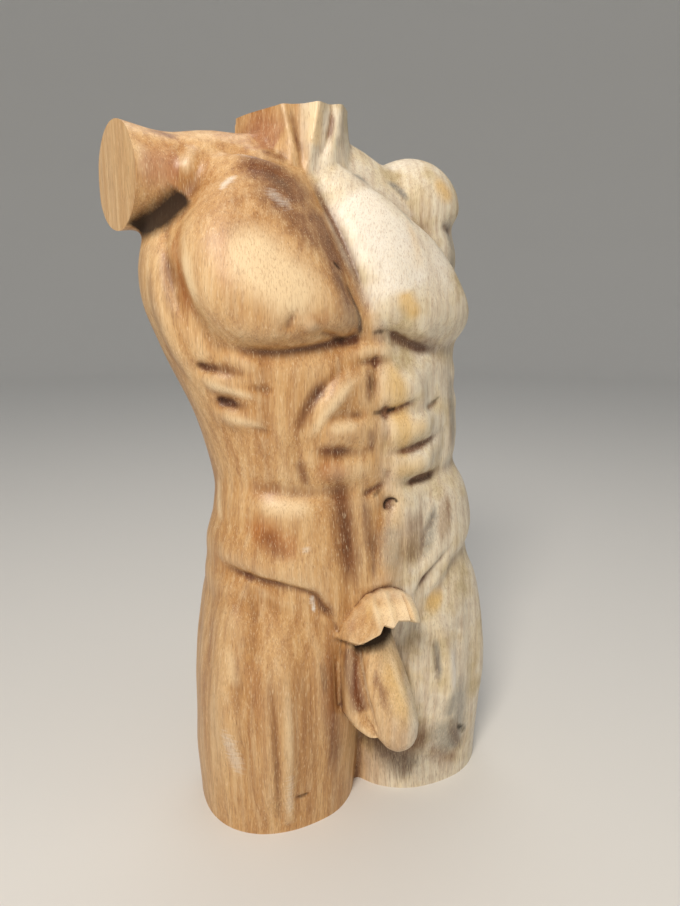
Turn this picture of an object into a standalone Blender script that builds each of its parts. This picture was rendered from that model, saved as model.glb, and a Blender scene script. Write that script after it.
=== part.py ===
"""A carved wooden male torso, cut flat at the thighs, both arms and the neck.

It is one piece of wood, so it is one solid. X runs to the figure's left, the chest faces -Y and Z is up.
The pose and the carving are written as millimetres on a figure 500 mm tall, and HEIGHT scales them all.
"""

import math

import bmesh
import bpy
import numpy as np
from mathutils import Matrix, Vector
from mathutils.bvhtree import BVHTree

HEIGHT = 0.500
MM = HEIGHT / 500

CLAY_VOXEL = 3.0 * MM
CLAY_SMOOTH_ROUNDS = 12
BODY_TRIANGLES = 8500
CUT_ALLOWANCE = 8

# Trunk: height, centre to the figure's left, half width, centre to the back, half depth, turn in degrees.
TRUNK = [
    (52, -1, 8, 2, 30, 0),
    (78, -1, 20, 2, 38, 0),
    (104, -2, 40, 2, 46, 0),
    (125, -2, 66, 2, 56, 0),
    (150, -5, 93, 1, 61, 0),
    (175, -5, 105, 0, 61, 0),
    (200, -4, 103, -1, 58, 1),
    (225, -2, 97, -1, 55, 2),
    (250, -6, 95, 0, 55, 3),
    (275, -7, 99, 1, 58, 4),
    (300, -12, 102, 2, 60, 5),
    (325, -18, 107, 4, 61, 5),
    (350, -21, 115, 6, 61, 5),
    (375, -24, 120, 9, 58, 5),
    (400, -25, 119, 12, 53, 5),
    (425, -26, 108, 15, 46, 4),
    (445, -28, 94, 16, 38, 3),
    (460, -30, 80, 16, 31, 2),
    (471, -32, 62, 16, 25, 0),
    (480, -34, 46, 14, 20, 0),
]

# Thighs: height, centre away from the middle, half width, centre to the back, half depth.
THIGH = [
    (-CUT_ALLOWANCE, 60, 58, 0, 57),
    (0, 60, 58.5, 0, 57),
    (25, 60, 60, 0, 58),
    (50, 60, 61, 0, 60),
    (75, 59, 62, 0, 62),
    (100, 58, 62, 1, 63),
    (130, 56, 61, 2, 62),
    (160, 54, 58, 3, 58),
    (185, 52, 52, 4, 50),
    (205, 50, 42, 6, 38),
]
THIGH_AXIS = 60
LEFT_THIGH_IN = 6

# The line down the front that splits the body into its two halves: height and azimuth.
MIDLINE = [(150, -8), (190, 2), (236, 10), (253, 8), (275, 6), (299, 7), (322, 10), (345, 11), (361, 8), (380, 5),
           (401, 1), (424, -3), (443, -8), (459, -15), (475, -18)]

# Muscle pads, on the figure's right half and mirrored to the other. Each corner of an outline is azimuth from the
# midline, height, and how far in from there the pad is still rising. Azimuth -90 is the figure's right side,
# and -180 is down the middle of the back. Each pad starts with its height above the skin, right and left.
PADS = {
    "chest": (17, 17, [
        (0, 356, 18), (-19, 348, 22), (-43, 342, 24), (-62, 344, 24), (-71, 353, 22), (-73, 373, 22),
        (-72, 390, 22), (-70, 410, 20), (-65, 430, 18), (-57, 448, 18), (-46, 464, 22), (-34, 468, 34),
        (-16, 464, 40), (0, 454, 38), (0, 430, 34), (0, 400, 30), (0, 375, 24),
    ]),
    "upper belly": (2, 3, [(-1, 346, 8), (-20, 342, 8), (-18, 333, 8), (-1, 332, 8)]),
    "belly 1": (3, 5, [(-1, 331, 12), (-16, 332, 12), (-31, 326, 12), (-38, 313, 12), (-39, 300, 12),
                       (-1, 299, 12)]),
    "belly 2": (3, 5, [(-1, 298, 11), (-39, 298, 11), (-40, 275, 11), (-1, 274, 11)]),
    "belly 3": (3, 5, [(-1, 273, 11), (-40, 273, 11), (-38, 250, 11), (-1, 251, 11)]),
    "lower belly": (4, 4, [(0, 249, 20), (-34, 247, 22), (-31, 215, 22), (-22, 185, 22), (-10, 158, 20),
                           (0, 150, 14)]),
    "hip": (5.5, 6, [
        (-34, 238, 30), (-55, 246, 22), (-75, 251, 20), (-94, 249, 24), (-114, 240, 30), (-134, 226, 30),
        (-128, 208, 26), (-108, 200, 18), (-86, 196, 15), (-72, 190, 14), (-54, 180, 14), (-38, 171, 14),
        (-18, 146, 16), (-20, 180, 34), (-28, 212, 36),
    ]),
    "shoulder blade": (6, 6, [(-196, 440, 20), (-210, 446, 24), (-226, 436, 24), (-234, 404, 22),
                              (-226, 366, 20), (-212, 356, 16), (-200, 376, 18), (-194, 410, 18)]),
    "upper back": (4, 4, [(-181, 468, 14), (-200, 460, 16), (-214, 450, 16), (-196, 416, 16), (-186, 375, 14),
                          (-181, 345, 10)]),
    "long back": (5, 5, [(-181, 345, 12), (-196, 325, 16), (-205, 270, 18), (-202, 224, 16), (-182, 207, 12)]),
    "seat": (15, 15, [
        (-181, 200, 16), (-195, 212, 30), (-214, 216, 42), (-232, 206, 46), (-244, 184, 46), (-248, 158, 44),
        (-243, 128, 36), (-228, 108, 26), (-208, 100, 20), (-190, 102, 18), (-181, 116, 14), (-180, 160, 14),
    ]),
}


# Neck: azimuth and radius of each edge of its flutes at the cut top, then the same where it meets the shoulders.
NECK_CENTRE = (-34, 12)
NECK_DEPTH = 0.85
NECK = [
    (-180, 36, -180, 42), (-150, 38, -150, 44), (-115, 41, -112, 47), (-94, 33, -90, 43), (-65, 30, -58, 41),
    (-31, 37, -20, 43), (-20, 34, -15, 39), (-8, 34, -11, 37), (5, 43, -7, 40), (19, 37, 3, 38),
    (31, 41, 16, 42), (48, 38, 36, 42), (66, 37, 60, 45), (90, 38, 90, 48), (120, 39, 120, 46), (150, 37, 150, 44),
]

# The carved tuft, from its pointed end to the other: how far to the left, then depth and height of the
# top at the back, the top edge in front, the lip and the underside at the back.
TUFT = [
    (-36, (-54, 150), (-62, 149), (-66, 146), (-54, 143)),
    (-28, (-52, 161), (-68, 158), (-75, 144), (-55, 141)),
    (-20, (-52, 167), (-77, 165), (-85, 147), (-56, 142)),
    (-14, (-52, 170), (-76, 166), (-83, 153), (-58, 144)),
    (-8, (-52, 171), (-83, 169), (-90, 157), (-60, 146)),
    (-3, (-52, 170), (-80, 167), (-87, 161), (-60, 148)),
    (1, (-52, 172), (-86, 171), (-93, 162), (-60, 150)),
    (3, (-52, 169), (-80, 168), (-87, 163), (-60, 152)),
    (6, (-52, 173), (-87, 173), (-94, 164), (-60, 153)),
    (13, (-52, 170), (-83, 170), (-89, 161), (-60, 154)),
]

# Saw cuts: a point on each and the way it faces.
CUTS = {
    "thighs": ((0, 0, 0), (0, 0, -1)),
    "neck": ((5, 12, 500), (-0.085, 0, 1)),
    "right arm": ((-152, 17, 451), (-0.979, -0.204, 0)),
}

# The left arm ends in a ball of muscle, cut across underneath: its centre, its radii, then a point on the cut
# and the way it faces.
LEFT_ARM = ((60, 18, 438), (41, 36, 40), (73, 12, 419), (0.54, -0.13, -0.83))


def smoothstep(t):
    t = np.clip(t, 0.0, 1.0)
    return t * t * (3 - 2 * t)


def clear_scene():
    for obj in list(bpy.data.objects):
        bpy.data.objects.remove(obj)


def add_object(name, mesh):
    obj = bpy.data.objects.new(name, mesh)
    bpy.context.scene.collection.objects.link(obj)
    return obj


def catmull_rom(rows, steps):
    """Rows of numbers joined by a smooth curve through every row, with steps points to each span."""
    rows = np.array(rows, float)
    padded = np.vstack([2 * rows[0] - rows[1], rows, 2 * rows[-1] - rows[-2]])
    made = []
    for a, b, c, d in zip(padded, padded[1:], padded[2:], padded[3:]):
        for t in np.arange(steps) / steps:
            made.append(
                0.5 * (2 * b + (c - a) * t + (2 * a - 5 * b + 4 * c - d) * t**2
                       + (3 * b - a - 3 * c + d) * t**3)
            )
    made.append(rows[-1])
    return np.array(made)


def ring(centre, half_width, half_depth, turn_deg, squareness, count):
    """A rounded-square outline, anticlockwise from above. Squareness 2 is an ellipse."""
    angle = np.linspace(0, 2 * math.pi, count, endpoint=False)
    c, s = np.cos(angle), np.sin(angle)
    x = np.sign(c) * np.abs(c) ** (2 / squareness) * half_width
    y = np.sign(s) * np.abs(s) ** (2 / squareness) * half_depth
    turn = math.radians(turn_deg)
    return np.stack(
        [
            centre[0] + math.cos(turn) * x - math.sin(turn) * y,
            centre[1] + math.sin(turn) * x + math.cos(turn) * y,
            np.full(count, centre[2]),
        ],
        axis=1,
    )


def skin_rings(name, rings):
    """A closed mesh over rings of equally many points, in millimetres, with flat ends."""
    mesh = bpy.data.meshes.new(name)
    bm = bmesh.new()
    rows = [[bm.verts.new(Vector(p) * MM) for p in points] for points in rings]
    count = len(rows[0])
    for low, high in zip(rows, rows[1:]):
        for i in range(count):
            j = (i + 1) % count
            bm.faces.new((low[i], low[j], high[j], high[i]))
    bm.faces.new(rows[0][::-1])
    bm.faces.new(rows[-1])
    bmesh.ops.recalc_face_normals(bm, faces=bm.faces)
    bm.to_mesh(mesh)
    bm.free()
    return add_object(name, mesh)


def make_trunk():
    rings = [
        ring((x, y, z), width, depth, turn, 2.3, 72)
        for z, x, width, y, depth, turn in catmull_rom(TRUNK, 3)
    ]
    return skin_rings("trunk", rings)


def make_thigh(side):
    rings = [
        ring((side * x - (LEFT_THIGH_IN if side > 0 else 0), y, z), width, depth, 0, 2.25, 48)
        for z, x, width, y, depth in catmull_rom(THIGH, 3)
    ]
    return skin_rings("thigh", rings)


def make_ellipsoid(name, centre, radii, tilt=(0, 0, 0)):
    """An egg of muscle: its centre and half sizes in millimetres, and its tilt about X, Y and Z in degrees."""
    mesh = bpy.data.meshes.new(name)
    bm = bmesh.new()
    bmesh.ops.create_uvsphere(bm, u_segments=32, v_segments=20, radius=1)
    turn = Matrix.Rotation(math.radians(tilt[2]), 4, "Z")
    turn @= Matrix.Rotation(math.radians(tilt[1]), 4, "Y")
    turn @= Matrix.Rotation(math.radians(tilt[0]), 4, "X")
    size = Matrix.Diagonal(Vector([r * MM for r in radii] + [1]))
    bmesh.ops.transform(bm, matrix=Matrix.Translation(Vector(centre) * MM) @ turn @ size, verts=bm.verts)
    bm.to_mesh(mesh)
    bm.free()
    return add_object(name, mesh)


def make_stump(name, start, end, radii):
    """A limb stump: a round bar from start to end whose radius follows radii, swept along its own axis."""
    start, end = Vector(start), Vector(end)
    along = (end - start).normalized()
    side = along.cross(Vector((0, 0, 1))).normalized()
    up = side.cross(along)
    angle = np.linspace(0, 2 * math.pi, 40, endpoint=False)
    rings = []
    for t, radius in catmull_rom([(i / (len(radii) - 1), r) for i, r in enumerate(radii)], 4):
        centre = start.lerp(end, t)
        rings.append([centre + (side * math.cos(a) + up * math.sin(a)) * radius for a in angle])
    return skin_rings(name, rings)


def settle(obj):
    """Turns an object's modifiers into its mesh."""
    bpy.context.view_layer.update()
    evaluated = obj.evaluated_get(bpy.context.evaluated_depsgraph_get())
    mesh = bpy.data.meshes.new_from_object(evaluated)
    obj.modifiers.clear()
    obj.data = mesh


def join_pieces(name, pieces):
    bm = bmesh.new()
    for piece in pieces:
        bm.from_mesh(piece.data)
        bpy.data.objects.remove(piece)
    mesh = bpy.data.meshes.new(name)
    bm.to_mesh(mesh)
    bm.free()
    return add_object(name, mesh)


def melt_together(obj):
    """Fuses overlapping pieces into one even skin and softens the creases where they meet."""
    remesh = obj.modifiers.new("Fuse", "REMESH")
    remesh.mode = "VOXEL"
    remesh.voxel_size = CLAY_VOXEL
    soften = obj.modifiers.new("Soften", "SMOOTH")
    soften.factor = 0.5
    soften.iterations = round(CLAY_SMOOTH_ROUNDS)
    settle(obj)


def axis_point(axis, z):
    """The middle of the trunk or of a thigh at height z, in millimetres."""
    if axis == "trunk":
        table = np.array(TRUNK)
        return np.stack([np.interp(z, table[:, 0], table[:, 1]), np.interp(z, table[:, 0], table[:, 3])], -1)
    side = -1 if axis == "right thigh" else 1
    return np.stack([np.full_like(z, side * THIGH_AXIS), np.zeros_like(z)], -1)


def mirrored(rows):
    """The same outline or stroke on the other half of the body."""
    return [(-row[0],) + tuple(row[1:]) for row in rows]


def midline(z):
    line = np.array(MIDLINE, float)
    return np.interp(z, line[:, 0], line[:, 1])


class Skin:
    """The clay skin while it is being carved. Every size here is in millimetres."""

    def __init__(self, obj):
        self.mesh = obj.data
        edges = np.empty(len(self.mesh.edges) * 2, int)
        self.mesh.edges.foreach_get("vertices", edges)
        self.edges = edges.reshape(-1, 2)
        self.links = np.maximum(np.bincount(edges, minlength=len(self.mesh.vertices)), 1)
        self.refresh()

    def refresh(self):
        count = len(self.mesh.vertices)
        points, normals = np.empty(count * 3), np.empty(count * 3)
        self.mesh.vertices.foreach_get("co", points)
        self.mesh.vertex_normals.foreach_get("vector", normals)
        self.points, self.normals = points.reshape(-1, 3) / MM, normals.reshape(-1, 3)
        faces = [tuple(face.vertices) for face in self.mesh.polygons]
        self.tree = BVHTree.FromPolygons([Vector(p) for p in self.points], faces)

    def even_out(self, amount, rounds):
        a, b = self.edges.T
        for _ in range(rounds):
            near = np.bincount(a, amount[b], len(amount)) + np.bincount(b, amount[a], len(amount))
            amount = 0.5 * amount + 0.5 * near / self.links
        return amount

    def move(self, amount):
        self.mesh.vertices.foreach_set("co", ((self.points + self.normals * amount[:, None]) * MM).ravel())
        self.mesh.update()

    def turned(self, azimuth, z, axis):
        """Azimuth from the midline made into azimuth about the axis. A thigh has its own front."""
        return azimuth + midline(z) if axis == "trunk" else azimuth

    def place(self, rows, axis):
        """Points given as azimuth and height, found on the skin by looking in from outside."""
        found = []
        for azimuth, z in [row[:2] for row in rows]:
            middle = axis_point(axis, np.array(float(z)))
            a = math.radians(self.turned(azimuth, z, axis))
            out = Vector((math.sin(a), -math.cos(a), 0))
            start = Vector((middle[0], middle[1], z)) + out * 300
            hit = self.tree.ray_cast(start, -out)[0]
            found.append(hit if hit is not None else start - out * 240)
        return np.array(found)

    def reach_of(self, path, soft):
        """For every segment of a path, the distance of every skin point over the softness there."""
        for i in range(len(path) - 1):
            step = path[i + 1] - path[i]
            t = np.clip((self.points - path[i]) @ step / max(step @ step, 1e-9), 0, 1)
            reach = np.linalg.norm(self.points - path[i] - t[:, None] * step, axis=1)
            yield i, t, reach / (soft[i] + (soft[i + 1] - soft[i]) * t)

    def pad(self, outline, height, axis="trunk"):
        """Raises everything inside an outline, rising like a cushion from its edge."""
        rows = np.array(list(outline) + [outline[0]], float)
        path = self.place(rows, axis)
        rise = sum(np.maximum(reach, 0.02) ** -4.0 for _, _, reach in self.reach_of(path, rows[:, 2])) ** -0.25
        middle = axis_point(axis, self.points[:, 2])
        azimuth = np.degrees(np.arctan2(self.points[:, 0] - middle[:, 0], middle[:, 1] - self.points[:, 1]))
        azimuth -= self.turned(0, self.points[:, 2], axis)
        around = rows[:-1, 0].mean()
        azimuth = (azimuth - around + 180) % 360 - 180 + around
        within = np.zeros(len(self.points), bool)
        for (a1, z1), (a2, z2) in zip(rows[:-1, :2], rows[1:, :2]):
            if z1 != z2:
                crosses = (z1 > self.points[:, 2]) != (z2 > self.points[:, 2])
                within ^= crosses & (azimuth < a1 + (self.points[:, 2] - z1) / (z2 - z1) * (a2 - a1))
        within &= np.linalg.norm(self.points - path.mean(axis=0), axis=1) < 130
        rise = np.where(within, np.clip(rise, 0, 1), 0)
        self.move(self.even_out(height * (1 - (1 - rise) ** 2), int(rows[:, 2].mean() / 3)))

    def stroke(self, rows, width, height, axis="trunk", ends=0.25):
        """A swelling along a path, or a groove where the height is negative. It fades out over its ends."""
        path = catmull_rom(self.place(rows, axis), 6)
        lengths = np.linalg.norm(np.diff(path, axis=0), axis=1)
        starts = np.concatenate([[0], np.cumsum(lengths)])
        best, along = np.full(len(self.points), np.inf), np.zeros(len(self.points))
        for i, t, reach in self.reach_of(path, np.full(len(path), float(width))):
            nearer = reach < best
            best[nearer], along[nearer] = reach[nearer], (starts[i] + t * lengths[i])[nearer] / starts[-1]
        fade = smoothstep(np.minimum(along, 1 - along) / ends) if ends else 1
        shape = smoothstep(1 - best) if height > 0 else np.clip(1 - best, 0, 1) ** 1.5
        self.move(self.even_out(height * shape * fade, 1))

    def both_sides(self, work, rows, *sizes, **options):
        for side in (rows, mirrored(rows)):
            work(side, *sizes, **options)
            self.refresh()


def carve_muscles(body):
    skin = Skin(body)
    for right_height, left_height, outline in PADS.values():
        skin.pad(outline, right_height)
        skin.refresh()
        skin.pad(mirrored(outline), left_height)
        skin.refresh()

    # Down the middle, and where the shoulders, ribs and hips fold.
    skin.stroke([(0, 352), (0, 325), (0, 300), (0, 275), (0, 245)], 8, -3)
    skin.stroke([(180, 462), (180, 400), (180, 330), (180, 260), (180, 200)], 18, -6)
    skin.refresh()
    for rows, width, height in [
        ([(-50, 290), (-52, 269), (-46, 252)], 10, -2.5),
        ([(-18, 249), (-38, 249), (-58, 252), (-78, 254)], 9, -3),
        ([(-84, 199), (-72, 191), (-54, 180), (-38, 172), (-26, 158)], 10, -2.5),
        ([(-62, 471), (-38, 464), (-12, 458)], 9, -3),
        ([(-74, 404), (-73, 380), (-73, 352), (-68, 330)], 12, -4),
        ([(0, 352), (-19, 345), (-43, 339), (-62, 341), (-70, 350)], 10, -2.5),
        ([(-83, 334), (-74, 333), (-64, 330)], 7, -2),
        ([(-80, 327), (-70, 324), (-60, 315)], 10, 2),
        ([(-80, 310), (-73, 311), (-67, 313)], 7, -2),
        ([(-82, 302), (-72, 300), (-60, 296)], 10, 1.5),
    ]:
        skin.both_sides(skin.stroke, rows, width, height)
    skin.stroke([(-2, 335), (-23, 333), (-35, 322), (-45, 307), (-52, 288)], 9, -3.5)
    skin.stroke([(-1, 327), (-21, 320), (-37, 304), (-50, 281)], 12, 4.5)
    skin.stroke([(0, 239), (0, 236), (0, 233)], 7, -6, ends=0)
    skin.refresh()

    # The thighs are not alike: each has its own ridges.
    for axis, rows, width, height in [
        ("right thigh", [(-62, 195), (-56, 160), (-54, 130), (-52, 95), (-50, 50)], 22, 4),
        ("right thigh", [(-36, 175), (-36, 120), (-38, 70), (-40, 20)], 18, -3),
        ("right thigh", [(-18, 160), (-20, 110), (-21, 70), (-21, 0)], 20, 4),
        ("left thigh", [(-18, 160), (-12, 110), (-6, 70), (-4, 20)], 22, 4),
        ("left thigh", [(22, 170), (24, 110), (26, 40)], 20, -3),
        ("left thigh", [(54, 185), (54, 120), (50, 50)], 24, 3),
        ("right thigh", [(-168, 100), (-174, 60), (-178, 0)], 26, -3.5),
        ("left thigh", [(168, 100), (174, 60), (178, 0)], 26, -3.5),
        ("right thigh", [(-110, 175), (-105, 120), (-104, 40)], 20, -3),
        ("left thigh", [(110, 175), (105, 120), (104, 40)], 20, -3),
    ]:
        skin.stroke(rows, width, height, axis)
        skin.refresh()


def rough_out():
    """The masses of the figure before any muscle is cut."""
    pieces = [
        make_trunk(),
        make_thigh(-1),
        make_thigh(1),
        make_stump("right_arm", (-58, 14, 446), (-163, 18, 450), (32, 34, 33.5, 29.5, 31.5, 36.5)),
        make_left_arm(),
        make_ellipsoid("left_armpit", (60, 10, 405), (34, 30, 44), (0, -8, 0)),
    ]
    body = join_pieces("torso", pieces)
    melt_together(body)
    return body


def make_neck():
    rings = []
    for z in (446, 458, 466, 474, 484, 494, 500 + CUT_ALLOWANCE):
        up = min(max((z - 458) / 42, 0), 1.2)
        points = []
        for top_azimuth, top_radius, low_azimuth, low_radius in NECK:
            a = math.radians(low_azimuth + (top_azimuth - low_azimuth) * up)
            radius = top_radius + (low_radius - top_radius) * (1 - min(up, 1)) ** 2
            points.append((NECK_CENTRE[0] + radius * math.sin(a),
                           NECK_CENTRE[1] - radius * NECK_DEPTH * math.cos(a), z))
        rings.append(points)
    return skin_rings("neck", rings)


def make_shaft():
    start, end = Vector((-11, -52, 154)), Vector((3.5, -88, 64))
    along = (end - start).normalized()
    side = along.cross(Vector((0, 1, 0))).normalized()
    out = side.cross(along)
    rings = []
    for t, radius in [(0, 13), (0.2, 13.5), (0.45, 14.5), (0.7, 15), (0.85, 13.5), (0.94, 10), (0.985, 6), (1, 2)]:
        turns = [2 * math.pi * i / 20 for i in range(20)]
        middle = start.lerp(end, t)
        rings.append([middle + (side * math.cos(a) * 1.2 + out * math.sin(a)) * radius for a in turns])
    return skin_rings("shaft", rings)


def make_tuft():
    rings = [[(x, y, z) for y, z in corners] for x, *corners in TUFT]
    return skin_rings("tuft", rings)


def thin_out(obj, triangles):
    """Lowers the triangle count, keeping most of them where the skin bends most."""
    obj.data.calc_loop_triangles()
    decimate = obj.modifiers.new("Thin out", "DECIMATE")
    decimate.ratio = triangles / len(obj.data.loop_triangles)
    settle(obj)


def unite(body, piece):
    boolean = body.modifiers.new("Unite", "BOOLEAN")
    boolean.operation = "UNION"
    boolean.solver = "EXACT"
    boolean.object = piece
    settle(body)
    bpy.data.objects.remove(piece)


def saw(obj, point, facing):
    """Cuts everything beyond a plane off an object and closes the cut with one flat face."""
    bm = bmesh.new()
    bm.from_mesh(obj.data)
    everything = bm.verts[:] + bm.edges[:] + bm.faces[:]
    bmesh.ops.bisect_plane(bm, geom=everything, dist=1e-7, plane_co=Vector(point) * MM,
                           plane_no=Vector(facing), clear_outer=True)
    open_edges = [edge for edge in bm.edges if edge.is_boundary]
    bmesh.ops.holes_fill(bm, edges=open_edges, sides=0)
    bmesh.ops.triangulate(bm, faces=bm.faces[:])
    bm.to_mesh(obj.data)
    bm.free()


def make_left_arm():
    centre, radii, point, facing = LEFT_ARM
    arm = make_ellipsoid("left_arm", centre, radii, (0, -20, 0))
    saw(arm, point, facing)
    return arm


def stand_on_origin(obj):
    """Moves the figure so that the origin is in the middle of its outline, on the ground."""
    corners = [Vector(corner) for corner in obj.bound_box]
    low = Vector([min(c[i] for c in corners) for i in range(3)])
    high = Vector([max(c[i] for c in corners) for i in range(3)])
    shift = Vector(((low.x + high.x) / 2, (low.y + high.y) / 2, low.z))
    obj.data.transform(Matrix.Translation(-shift))
    obj.data.update()
    return shift


def give_material(obj):
    wood = bpy.data.materials.new("wood")
    wood.use_nodes = True
    shader = wood.node_tree.nodes["Principled BSDF"]
    shader.inputs["Base Color"].default_value = (0.47, 0.27, 0.12, 1)
    shader.inputs["Roughness"].default_value = 0.5
    obj.data.materials.clear()
    obj.data.materials.append(wood)


def main():
    clear_scene()
    body = rough_out()
    carve_muscles(body)
    thin_out(body, BODY_TRIANGLES)
    pouch = make_ellipsoid("pouch", (-10, -62, 108), (17, 18, 41), (-20, -10, 0))
    for piece in (make_neck(), pouch, make_shaft(), make_tuft()):
        unite(body, piece)
    for point, facing in CUTS.values():
        saw(body, point, facing)
    give_material(body)
    return stand_on_origin(body)


ORIGIN_SHIFT = main()
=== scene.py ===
# %% [markdown]
# # A carved wooden male torso
# The real object is one block of tropical hardwood, carved with gouges, sanded and waxed. The log was cut
# so that its brown heartwood lies on the figure's right and its cream sapwood on the left. The neck, the
# right arm and both thighs end in flat saw cuts. The CAD frame holds the true outline and the main forms.
# This script carves the fine forms into a copy of it and gives it its wood.

import math

import bpy
import numpy as np
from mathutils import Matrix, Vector, noise
from mathutils.bvhtree import BVHTree


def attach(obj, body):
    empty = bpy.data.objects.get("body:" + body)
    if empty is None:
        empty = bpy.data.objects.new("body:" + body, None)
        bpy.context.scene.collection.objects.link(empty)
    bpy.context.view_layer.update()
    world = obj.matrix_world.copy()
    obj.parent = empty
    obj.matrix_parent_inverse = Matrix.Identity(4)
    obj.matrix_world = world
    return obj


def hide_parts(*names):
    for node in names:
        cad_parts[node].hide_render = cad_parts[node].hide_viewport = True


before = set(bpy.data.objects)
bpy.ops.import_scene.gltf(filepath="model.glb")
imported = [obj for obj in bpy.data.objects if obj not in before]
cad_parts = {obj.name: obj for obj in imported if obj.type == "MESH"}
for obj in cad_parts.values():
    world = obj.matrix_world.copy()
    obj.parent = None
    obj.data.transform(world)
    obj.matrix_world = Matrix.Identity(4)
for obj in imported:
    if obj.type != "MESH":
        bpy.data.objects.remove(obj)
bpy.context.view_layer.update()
MM = 0.001

# %% [markdown]
# ## The camera
# The camera comes first, so that every form can be judged from where the photograph was taken. It stands a
# little to the figure's right, at chest height, and looks slightly down.

# %% Camera
CAMERA_PLACE = (-195.1 * MM, -446.4 * MM, 368.2 * MM)
CAMERA_DOWN, CAMERA_TURN = 12.0, 25.0
LENS, SENSOR_WIDTH = 27.06, 36  # both in millimetres

bpy.ops.object.camera_add(
    location=CAMERA_PLACE,
    rotation=(math.radians(90 - CAMERA_DOWN), 0, math.radians(-CAMERA_TURN)),
)
camera = bpy.context.object
camera.data.lens = LENS
camera.data.sensor_width = SENSOR_WIDTH
camera.data.clip_start = 10 * MM
bpy.context.scene.camera = camera

# %% [markdown]
# ## Working by hand
# An operator acts on whatever is selected, so each step first selects its own piece and nothing else.

# %% Helpers for selecting and for modifiers


def work_on(obj):
    """Selects one object alone and makes it the active one."""
    bpy.ops.object.select_all(action="DESELECT")
    obj.select_set(True)
    bpy.context.view_layer.objects.active = obj


def apply_modifier(obj, kind, **settings):
    """Adds a modifier with its settings and applies it at once."""
    work_on(obj)
    modifier = obj.modifiers.new(kind.title(), kind)
    for name, value in settings.items():
        setattr(modifier, name, value)
    bpy.ops.object.modifier_apply(modifier=modifier.name)


def array_of(items, name, width):
    """One value of every vertex, edge or face, as rows of that many numbers."""
    values = np.empty(len(items) * width)
    items.foreach_get(name, values)
    return values.reshape(-1, width)


# %% [markdown]
# ## The block to carve
# The CAD torso is made of flat facets. A copy of it is merged, and its sawn ends are extruded a little past
# the saw cuts. Then it is remeshed into small even cells and smoothed, so the facets melt away. The spare
# length is sawn off again at the very end, which leaves flat ends with crisp rims.

# %% Copy the torso and lengthen its sawn ends
SAW_CUTS = {  # a place in each cut, and the way it faces
    "thighs": (Vector((0, 0, 0)), Vector((0, 0, -1))),
    "neck": (Vector((27.2, 20.3, 500)) * MM, Vector((-0.085, 0, 1)).normalized()),
    "right arm": (Vector((-129.8, 25.3, 451)) * MM, Vector((-0.979, -0.204, 0)).normalized()),
}
SPARE_LENGTH = 9 * MM
MERGE_DISTANCE = 0.01 * MM

torso = bpy.data.objects.new("carved_torso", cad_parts["torso"].data.copy())
bpy.context.scene.collection.objects.link(torso)
torso.data.materials.clear()
work_on(torso)
bpy.ops.object.mode_set(mode="EDIT")
bpy.ops.mesh.select_mode(type="FACE")
bpy.ops.mesh.select_all(action="SELECT")
bpy.ops.mesh.remove_doubles(threshold=MERGE_DISTANCE)
bpy.ops.object.mode_set(mode="OBJECT")


def select_flat(obj, point, facing):
    """Selects the faces that lie in a saw cut."""
    point, facing = np.array(point), np.array(facing)
    normals = array_of(obj.data.polygons, "normal", 3)
    centres = array_of(obj.data.polygons, "center", 3)
    flat = (normals @ facing > 0.999) & (np.abs((centres - point) @ facing) < 0.3 * MM)
    obj.data.polygons.foreach_set("select", flat)
    return int(flat.sum())


for name, (point, facing) in SAW_CUTS.items():
    bpy.ops.object.mode_set(mode="EDIT")
    bpy.ops.mesh.select_all(action="DESELECT")
    bpy.ops.object.mode_set(mode="OBJECT")
    found = select_flat(torso, point, facing)
    bpy.ops.object.mode_set(mode="EDIT")
    bpy.ops.mesh.extrude_region_move(TRANSFORM_OT_translate={"value": facing * SPARE_LENGTH})
    bpy.ops.object.mode_set(mode="OBJECT")
    print("Sawn end", name, "has", found, "faces")

# %% Remesh and melt the facets
CELL = 1.5 * MM
FINE_PLACES = [
    # middle and half size in millimetres of what gets finer cells, and how soft it becomes
    ((-13, 20, 478), (58, 56, 30), 0.45),  # the neck
    ((14, -70, 118), (36, 40, 64), 0.8),  # the tuft, shaft and pouch
]
apply_modifier(torso, "REMESH", mode="VOXEL", voxel_size=CELL)

centres = array_of(torso.data.polygons, "center", 3) / MM
fine = np.zeros(len(centres), bool)
for middle, half, _ in FINE_PLACES:
    fine |= (np.abs(centres - np.array(middle)) < np.array(half)).all(axis=1)
bpy.ops.object.mode_set(mode="EDIT")
bpy.ops.mesh.select_all(action="DESELECT")
bpy.ops.object.mode_set(mode="OBJECT")
torso.data.polygons.foreach_set("select", fine)
bpy.ops.object.mode_set(mode="EDIT")
bpy.ops.mesh.subdivide(number_cuts=1)
bpy.ops.object.mode_set(mode="OBJECT")

places = array_of(torso.data.vertices, "co", 3) / MM
softness = np.ones(len(places))
for middle, half, soft in FINE_PLACES:
    # the softness changes bit by bit across the border of the place, where this value is 1
    outward = np.abs((places - np.array(middle)) / np.array(half)).max(axis=1)
    softness = np.minimum(softness, soft + (1 - soft) * np.clip((outward - 0.85) / 0.3, 0.0, 1.0))
# a vertex group gives the second smoothing its strength, in ten steps
group = torso.vertex_groups.new(name="soft")
for level in range(1, 11):
    members = np.nonzero(np.ceil(softness * 10) == level)[0].tolist()
    group.add(members, level / 10, "REPLACE")
apply_modifier(torso, "SMOOTH", factor=0.5, iterations=5)
apply_modifier(torso, "SMOOTH", factor=0.5, iterations=22, vertex_group="soft")

# %% [markdown]
# ### Tuft and pouch
# The fluted tuft is too crisp for the remesh, so its melted form is laid flat and a clean one is set in its
# place. It is a skin through stations, each with its back, top edge, lip and underside. The pouch beside the
# shaft is rounded out the same way.

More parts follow.
